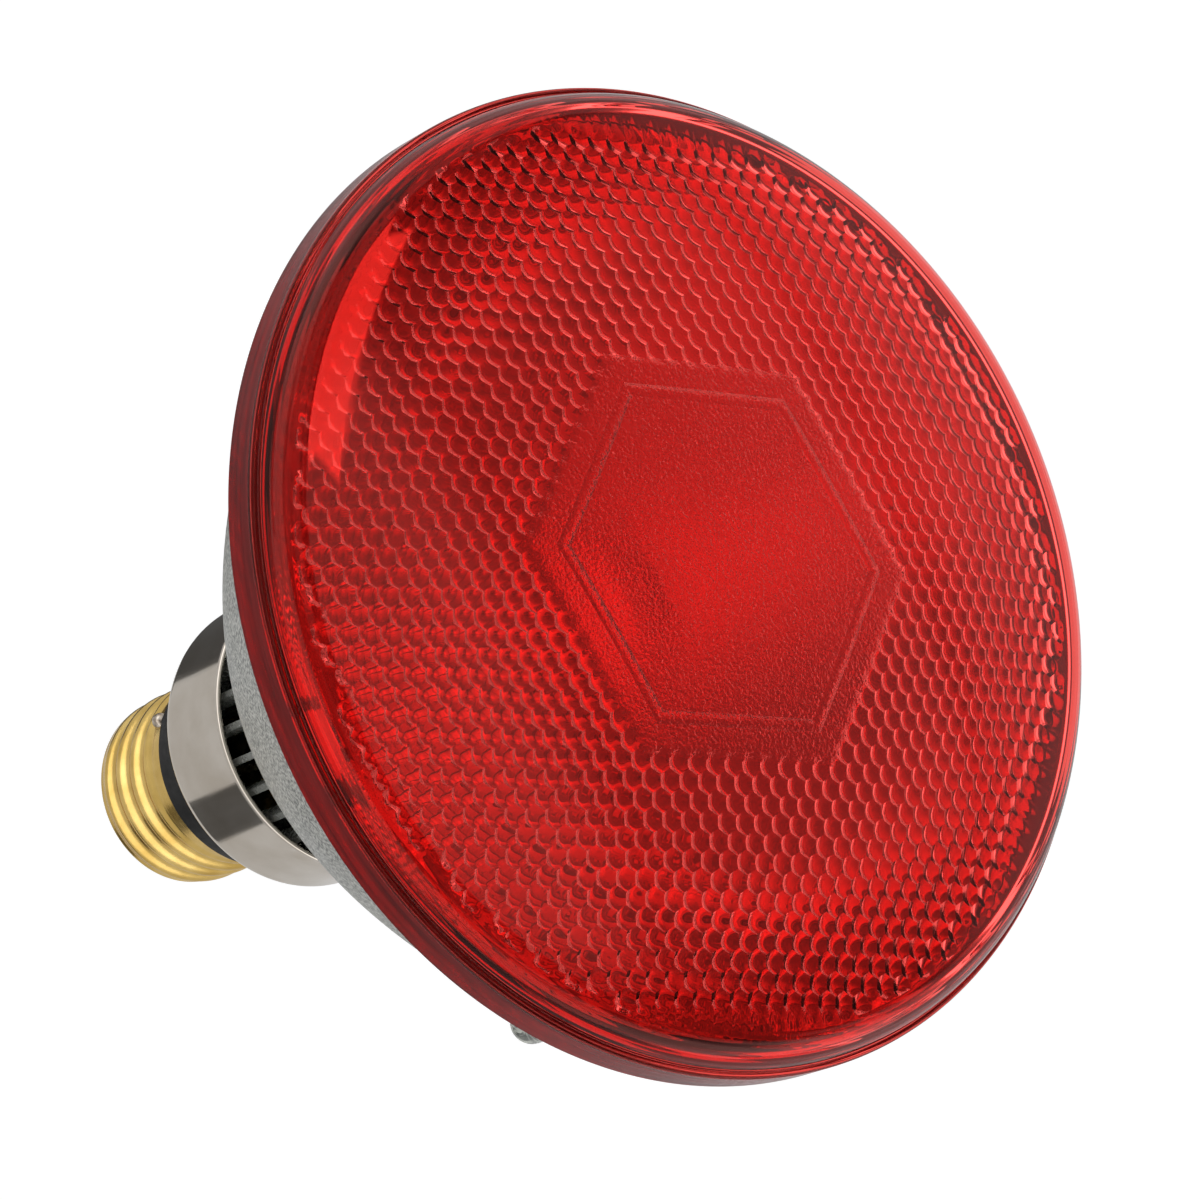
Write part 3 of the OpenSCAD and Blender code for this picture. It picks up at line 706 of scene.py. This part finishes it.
# The lattice of cell centres: a sheared grid of points, rows along the flats of the panel
span = sum_up(tree, "SUBTRACT", given["Rows"], 1.0)
lattice = put(tree, "GeometryNodeMeshGrid", {
    "Size X": span, "Size Y": span, "Vertices X": given["Rows"], "Vertices Y": given["Rows"]}).outputs["Mesh"]
at = here()
lattice_x = sum_up(tree, "MULTIPLY", sum_up(tree, "ADD", at["X"], sum_up(tree, "MULTIPLY", at["Y"], 0.5)),
                   given["Pitch"])
lattice_y = sum_up(tree, "MULTIPLY", sum_up(tree, "MULTIPLY", at["Y"], math.cos(math.radians(30))),
                   given["Pitch"])
sheared = put(tree, "ShaderNodeCombineXYZ", {"X": lattice_x, "Y": lattice_y}).outputs["Vector"]
lattice = put(tree, "GeometryNodeSetPosition", {"Geometry": lattice, "Position": sheared}).outputs["Geometry"]
far = from_axis()
outside_panel = sum_up(tree, "GREATER_THAN", hexagon_reach(tree, here()), sum_up(
    tree, "ADD", given["Panel reach"], sum_up(tree, "MULTIPLY", given["Pitch"], 0.25)))
is_cell = sum_up(tree, "MULTIPLY", sum_up(tree, "LESS_THAN", far, given["Field radius"]), outside_panel)
spots = put(tree, "GeometryNodeMeshToPoints", {"Mesh": lattice, "Selection": sum_up(
    tree, "LESS_THAN", far, sum_up(tree, "ADD", given["Edge radius"], given["Pitch"]))}).outputs["Points"]
spots = put(tree, "GeometryNodeStoreNamedAttribute", {"Geometry": spots, "Name": "cell", "Value": is_cell},
            data_type="FLOAT", domain="POINT").outputs["Geometry"]
one_tile = put(tree, "GeometryNodeObjectInfo", {"Object": tile}).outputs["Geometry"]
one_tile = put(tree, "GeometryNodeStoreNamedAttribute", {
    "Geometry": one_tile, "Name": "off_centre", "Value": from_axis()},
    data_type="FLOAT", domain="POINT").outputs["Geometry"]
tiles = put(tree, "GeometryNodeInstanceOnPoints",
            {"Points": spots, "Instance": one_tile}).outputs["Instances"]
tiles = put(tree, "GeometryNodeRealizeInstances", {"Geometry": tiles}).outputs["Geometry"]
sheet = put(tree, "GeometryNodeMergeByDistance",
            {"Geometry": tiles, "Distance": 0.02 * MM}).outputs["Geometry"]

# Points past the edge are drawn in to the edge's circle, and each cell is lowered to its dome
at = here()
far = from_axis()
pull = sum_up(tree, "MINIMUM", 1.0, sum_up(
    tree, "DIVIDE", given["Edge radius"], sum_up(tree, "MAXIMUM", far, 1e-6)))
near = sum_up(tree, "MINIMUM", far, given["Edge radius"])
off_centre = named("off_centre")


def ball_height(ball, at_r):
    return sum_up(tree, "SQRT", sum_up(tree, "SUBTRACT", sum_up(tree, "MULTIPLY", ball, ball),
                                       sum_up(tree, "MULTIPLY", at_r, at_r)))


dome = sum_up(tree, "SUBTRACT", ball_height(given["Cell ball"], off_centre),
              ball_height(given["Cell ball"], given["Cell corner"]))
fade = sum_up(tree, "DIVIDE", sum_up(tree, "SUBTRACT", given["Edge radius"], far),
              sum_up(tree, "MULTIPLY", given["Pitch"], 0.2), clamp=True)
dome = sum_up(tree, "MULTIPLY", sum_up(
    tree, "MULTIPLY", sum_up(tree, "ADD", dome, given["Sink"]), named("cell")), fade)
off_line = sum_up(tree, "ABSOLUTE", sum_up(tree, "SUBTRACT", hexagon_reach(tree, at), given["Line reach"]))
on_line = sum_up(tree, "SUBTRACT", 1.0, sum_up(tree, "DIVIDE", off_line, given["Line width"]), clamp=True)
line = sum_up(tree, "MULTIPLY", sum_up(
    tree, "SMOOTH_MIN", sum_up(tree, "MULTIPLY", on_line, 1.6), 1.0, 0.3), given["Line height"])
base_z = sum_up(tree, "ADD", given["Inner apex"], sum_up(
    tree, "SUBTRACT", ball_height(given["Face ball"], near), given["Face ball"]))
settled = put(tree, "ShaderNodeCombineXYZ", {
    "X": sum_up(tree, "MULTIPLY", at["X"], pull), "Y": sum_up(tree, "MULTIPLY", at["Y"], pull),
    "Z": sum_up(tree, "SUBTRACT", sum_up(tree, "SUBTRACT", base_z, dome), line)}).outputs["Vector"]
sheet = put(tree, "GeometryNodeSetPosition", {"Geometry": sheet, "Position": settled}).outputs["Geometry"]
sheet = put(tree, "GeometryNodeSetShadeSmooth", {"Geometry": sheet}, domain="FACE").outputs["Geometry"]
sheet = put(tree, "GeometryNodeRealizeInstances", {"Geometry": sheet}).outputs["Geometry"]
sheet = put(tree, "GeometryNodeSetMaterial", {"Geometry": sheet, "Material": red_glass}).outputs["Geometry"]
tree.links.new(sheet, result["Geometry"])
lens_mesh = grown("red_lens", tree, honeycomb_sizes)
bpy.data.objects.remove(tile)

# The rest of the lens is turned on from the edge of that face: fillet, seam, side wall, beads, front
lens_section = (
    arc_points(dome_edge, inner_face(dome_edge) - 1.9, 1.9, 80, 0, 6)
    + [(mirror_r, seam + 1.4), (mirror_r + 0.05, seam + 0.02), (60.55, seam + 0.02), (60.75, seam + 0.25),
       (60.75, seam + 1.6), (60.75, crease_z - 1.0)]
    + arc_points(60.3, crease_z - 0.75, 0.45, 5, 100, 6)
    + [(60.12, crease_z - 0.52), (59.98, crease_z - 0.22)]
    + arc_points(59.74, crease_z - 0.25, 0.24, 20, 160, 5)
    + [(59.42, crease_z - 0.42)])
shoulder_slope = math.asin(dome_edge / face_ball)
shoulder_drop, shoulder_reach = outer_face(dome_edge) - crease_z, 59.85 - dome_edge
shoulder_chord = math.hypot(shoulder_reach, shoulder_drop)
shoulder_turn = 2 * (math.atan2(shoulder_drop, shoulder_reach) - shoulder_slope)
shoulder_r = shoulder_chord / (2 * math.sin(shoulder_turn / 2))
shoulder_c = (dome_edge - shoulder_r * math.sin(shoulder_slope),
              outer_face(dome_edge) - shoulder_r * math.cos(shoulder_slope))
for i in range(29):
    a = math.pi / 2 - shoulder_slope - shoulder_turn * (1 - (i + 1.2) / 30.2)
    ripple = 0.025 * math.sin(i * 2.4) * math.sin(i * 0.9 + 1.0)
    lens_section.append((shoulder_c[0] + (shoulder_r - 0.03 + ripple) * math.cos(a),
                         shoulder_c[1] + (shoulder_r - 0.03 + ripple) * math.sin(a)))
front_rings = [dome_edge - 0.3] + [dome_edge * (1 - i / 16) for i in range(1, 16)]
lens_section += [(r, outer_face(r)) for r in front_rings]

work = bmesh.new()
work.from_mesh(lens_mesh)
cut_r = (dome_edge - 0.01) * MM
outside = [f for f in work.faces if all(math.hypot(v.co.x, v.co.y) > cut_r for v in f.verts)]
bmesh.ops.delete(work, geom=outside, context="FACES")
bmesh.ops.delete(work, geom=[v for v in work.verts if not v.link_faces], context="VERTS")
bmesh.ops.dissolve_degenerate(work, dist=0.004 * MM, edges=work.edges)
edge_loop = sorted({v for e in work.edges if e.is_boundary for v in e.verts},
                   key=lambda v: math.atan2(v.co.y, v.co.x))
if sum(f.normal.z for f in work.faces) > 0:
    bmesh.ops.reverse_faces(work, faces=work.faces)
angles = [math.atan2(v.co.y, v.co.x) for v in edge_loop]
last = edge_loop
for r, z in lens_section + [(0.0, apex)]:
    if r < 1e-6:
        tip = work.verts.new((0.0, 0.0, z * MM))
        for k in range(len(last)):
            f = work.faces.new((last[k], last[(k + 1) % len(last)], tip))
            f.smooth = True
        break
    ring = [work.verts.new((r * MM * math.cos(a), r * MM * math.sin(a), z * MM)) for a in angles]
    for k in range(len(ring)):
        n = (k + 1) % len(ring)
        f = work.faces.new((last[k], last[n], ring[n], ring[k]))
        f.smooth = True
    last = ring
bmesh.ops.recalc_face_normals(work, faces=work.faces)
if work.calc_volume(signed=True) < 0:
    bmesh.ops.reverse_faces(work, faces=work.faces)
for f in work.faces:
    c = f.calc_center_median() / MM
    r = math.hypot(c.x, c.y)
    panel = max(abs(c.x * math.cos(math.radians(t)) + c.y * math.sin(math.radians(t))) for t in (30, 90, 150))
    if r > 60.6 and c.z < crease_z - 0.9:
        f.material_index = 2
    elif panel < 24.0 and f.normal.z < 0:
        f.material_index = 1
    else:
        f.material_index = 0
lens_mesh.materials.clear()
for finish in (red_glass, stippled_glass, side_glass_painted_shade):
    lens_mesh.materials.append(finish)
work.to_mesh(lens_mesh)
work.free()
sharpen(lens_mesh, 28)
piece("red_lens", lens_mesh, "lens", slot="red_glass")


# Studio: a wide pale floor well below the lamp, a pale room with dark gaps between its soft lamps
# overhead, and the camera.

bpy.ops.mesh.primitive_plane_add(size=30.0, location=(0.0, 0.0, -0.12))
floor = bpy.context.object
floor.name = "pale_floor"
paper = bpy.data.materials.new("white_paper")
paper.use_nodes = True
tree = paper.node_tree
tree.nodes.clear()
ray = put(tree, "ShaderNodeLightPath").outputs
seen = sum_up(tree, "MAXIMUM", sum_up(tree, "MAXIMUM", ray["Is Camera Ray"], ray["Is Transmission Ray"]),
              sum_up(tree, "MULTIPLY", ray["Is Glossy Ray"], 0.3))
matt = put(tree, "ShaderNodeBsdfDiffuse", {"Color": (0.8, 0.8, 0.8, 1.0)}).outputs["BSDF"]
glow = put(tree, "ShaderNodeEmission", {"Color": (1.0, 1.0, 1.0, 1.0), "Strength": sum_up(
    tree, "MULTIPLY", seen, 0.47)}).outputs["Emission"]
both = put(tree, "ShaderNodeAddShader", {0: matt, 1: glow}).outputs["Shader"]
tree.links.new(both, put(tree, "ShaderNodeOutputMaterial").inputs["Surface"])
floor.data.materials.append(paper)

# Two dark cards lie on the floor and are seen only in polished metal, whose bands they make
for name, start, end, tone in (("card_ahead", 32.0, 68.0, 0.19), ("card_aside", -157.0, -60.0, 0.13)):
    paint = bpy.data.materials.new(name)
    paint.use_nodes = True
    tree = paint.node_tree
    tree.nodes.clear()
    dark = put(tree, "ShaderNodeBsdfDiffuse", {"Color": (tone, tone, tone, 1.0)}).outputs["BSDF"]
    tree.links.new(dark, put(tree, "ShaderNodeOutputMaterial").inputs["Surface"])
    turns = [math.radians(start + (end - start) * k / 24) for k in range(25)]
    corners = [(r * math.cos(a), r * math.sin(a), -0.119) for r in (0.085, 0.21) for a in turns]
    mesh = bpy.data.meshes.new(name)
    mesh.from_pydata(corners, [], [(k, 25 + k, 26 + k, k + 1) for k in range(24)])
    mesh.materials.append(paint)
    card = bpy.data.objects.new(name, mesh)
    bpy.context.scene.collection.objects.link(card)
    card.visible_camera = card.visible_diffuse = card.visible_transmission = card.visible_shadow = False

room = bpy.data.worlds.new("pale_room")
bpy.context.scene.world = room
room.use_nodes = True
tree = room.node_tree
tree.nodes.clear()
ray = put(tree, "ShaderNodeLightPath").outputs
seen = sum_up(tree, "MAXIMUM", sum_up(tree, "MAXIMUM", ray["Is Camera Ray"], ray["Is Glossy Ray"]),
              ray["Is Transmission Ray"])
way = put(tree, "ShaderNodeTexCoord").outputs["Generated"]


def lamp_patch(azimuth, elevation, half_wide, half_high, soft=0.06):
    a, e = math.radians(azimuth), math.radians(elevation)
    ahead = (math.cos(a) * math.cos(e), math.sin(a) * math.cos(e), math.sin(e))
    side = (-math.sin(a), math.cos(a), 0.0)
    up = (-math.cos(a) * math.sin(e), -math.sin(a) * math.sin(e), math.cos(e))
    along = [put(tree, "ShaderNodeVectorMath", {0: way, 1: v}, operation="DOT_PRODUCT").outputs["Value"]
             for v in (ahead, side, up)]
    front = sum_up(tree, "MAXIMUM", along[0], 0.001)
    inside = None
    for value, half in ((along[1], half_wide), (along[2], half_high)):
        off = sum_up(tree, "ABSOLUTE", sum_up(tree, "DIVIDE", value, front))
        one = between(tree, off, 1.0, 0.0, half - soft, half + soft)
        inside = one if inside is None else sum_up(tree, "MULTIPLY", inside, one)
    return sum_up(tree, "MULTIPLY", inside, sum_up(tree, "GREATER_THAN", along[0], 0.0))


# Bright walls all round, stronger on one side, under a dim ceiling that carries the soft lamps. One
# narrow lamp is strong enough to show in the red glass, where the wall beyond the lamp is dim
def along_way(direction):
    return put(tree, "ShaderNodeVectorMath", {0: way, 1: direction}, operation="DOT_PRODUCT").outputs["Value"]


walls = sum_up(tree, "MULTIPLY_ADD", along_way((-0.62, -0.79, 0.0)), 0.35, 2.1)
height = between(tree, put(tree, "ShaderNodeSeparateXYZ", {"Vector": way}).outputs["Z"], 0.0, 1.0, 0.38, 0.62)
level = put(tree, "ShaderNodeMix", {0: height, 2: walls, 3: 0.2}, data_type="FLOAT").outputs[0]
for strength, patch in ((0.80, (292.0, 46.0, 0.85, 0.18, 0.08)), (0.75, (322.0, 59.0, 0.40, 0.16, 0.08)),
                        (0.62, (202.0, 50.0, 0.35, 0.28, 0.08)), (1.40, (202.0, 76.0, 0.35, 0.22, 0.08)),
                        (0.35, (52.0, 56.0, 0.55, 0.22, 0.10))):
    level = sum_up(tree, "MAXIMUM", level, sum_up(tree, "MULTIPLY", lamp_patch(*patch), strength))
straight = sum_up(tree, "MULTIPLY", ray["Is Glossy Ray"],
                  sum_up(tree, "SUBTRACT", 1.0, ray["Is Transmission Ray"]))
beyond = between(tree, along_way((-0.82, -0.57, 0.0)), 0.0, 1.0, 0.25, 0.6)
far_wall = sum_up(tree, "MULTIPLY", sum_up(tree, "MULTIPLY", straight, beyond),
                  sum_up(tree, "SUBTRACT", 1.0, height))
level = sum_up(tree, "MULTIPLY", level, sum_up(tree, "MULTIPLY_ADD", far_wall, -0.75, 1.0))
strip = sum_up(tree, "MULTIPLY", straight, lamp_patch(250.0, 60.5, 0.105, 0.15, 0.006))
shade = put(tree, "ShaderNodeCombineXYZ", {
    "X": sum_up(tree, "MULTIPLY_ADD", strip, 13.0, level),
    "Y": sum_up(tree, "MULTIPLY_ADD", strip, 1.2, level),
    "Z": sum_up(tree, "MULTIPLY_ADD", strip, 1.0, level)}).outputs["Vector"]
looked_at = put(tree, "ShaderNodeBackground", {"Color": shade, "Strength": 1.0}).outputs["Background"]
lights = put(tree, "ShaderNodeBackground",
             {"Color": (1.0, 1.0, 1.0, 1.0), "Strength": 0.72}).outputs["Background"]
mixed = put(tree, "ShaderNodeMixShader", {"Fac": seen, 1: lights, 2: looked_at}).outputs["Shader"]
tree.links.new(mixed, put(tree, "ShaderNodeOutputWorld").inputs["Surface"])

camera = bpy.data.objects.new("camera", bpy.data.cameras.new("camera"))
bpy.context.scene.collection.objects.link(camera)
bpy.context.scene.camera = camera
camera.data.sensor_width = 36.0
camera.data.lens = 150.0
camera.data.clip_start, camera.data.clip_end = 0.01, 100.0
camera.matrix_world = Matrix((
    (-0.8104, 0.0636, 0.5825, 0.35378),
    (0.0967, -0.9660, 0.2399, 0.14438),
    (0.5779, 0.2507, 0.7767, 0.5788),
    (0.0, 0.0, 0.0, 1.0)))

bpy.context.scene.view_settings.view_transform = "Standard"
bpy.context.scene.cycles.max_bounces = 12
bpy.context.scene.cycles.transmission_bounces = 10
bpy.context.scene.cycles.glossy_bounces = 5
